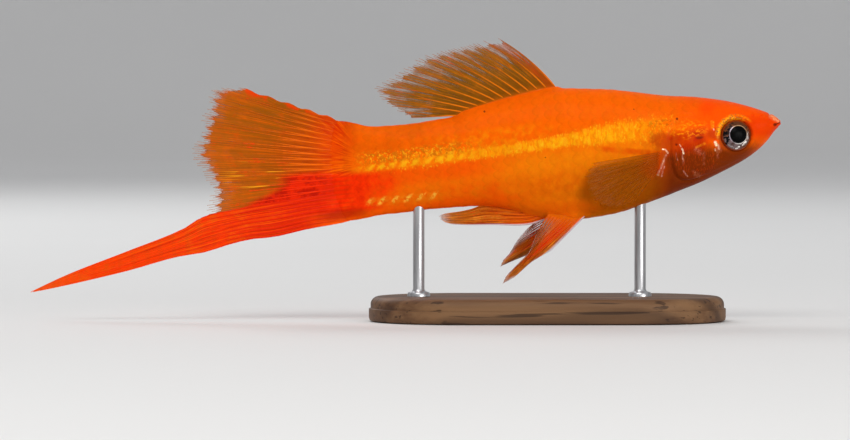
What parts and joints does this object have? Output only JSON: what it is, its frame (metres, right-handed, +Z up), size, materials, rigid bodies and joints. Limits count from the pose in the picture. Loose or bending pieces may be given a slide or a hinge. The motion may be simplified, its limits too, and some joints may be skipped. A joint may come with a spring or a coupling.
{
  "type": "swordtail",
  "caption": "Life-size still model of a male red swordtail with a long pointed sword on its tail fin, held above a rounded wooden base by short steel rods.",
  "frame": {"origin": "on the floor under the middle of the whole model's box", "axes": "+X towards the fish's head, +Y to the fish's left, +Z up; the fish is pitched 6.4 degrees head up"},
  "size_m": [0.1049, 0.026, 0.0395],
  "materials": {
    "orange_skin": "glossy painted scales, orange above, golden along the flank, red and brown below",
    "gill_skin": "glossy red-brown skin with silvery streaks",
    "red_tail": "satin red-orange fin with fine rays",
    "amber_fin": "translucent amber membrane with orange rays",
    "clear_fin": "nearly clear membrane with faint orange rays",
    "eye": "glossy dark eye with a thin silver ring",
    "walnut": "satin varnish",
    "steel": "fine brushed"
  },
  "bodies": {
    "root": {"head": "orange_skin", "trunk": "orange_skin", "tail_stalk": "orange_skin", "eye_left": "eye", "eye_right": "eye", "gill_cover_left": "gill_skin", "gill_cover_right": "gill_skin", "dorsal_fin": "amber_fin", "tail_fan": "amber_fin", "sword": "red_tail", "anal_fin": "red_tail", "pelvic_fin_left": "red_tail", "pelvic_fin_right": "red_tail", "pectoral_fin_left": "clear_fin", "pectoral_fin_right": "clear_fin", "stand_base": "walnut", "stand_rod_front": "steel", "stand_rod_rear": "steel"}
  },
  "joints": []
}
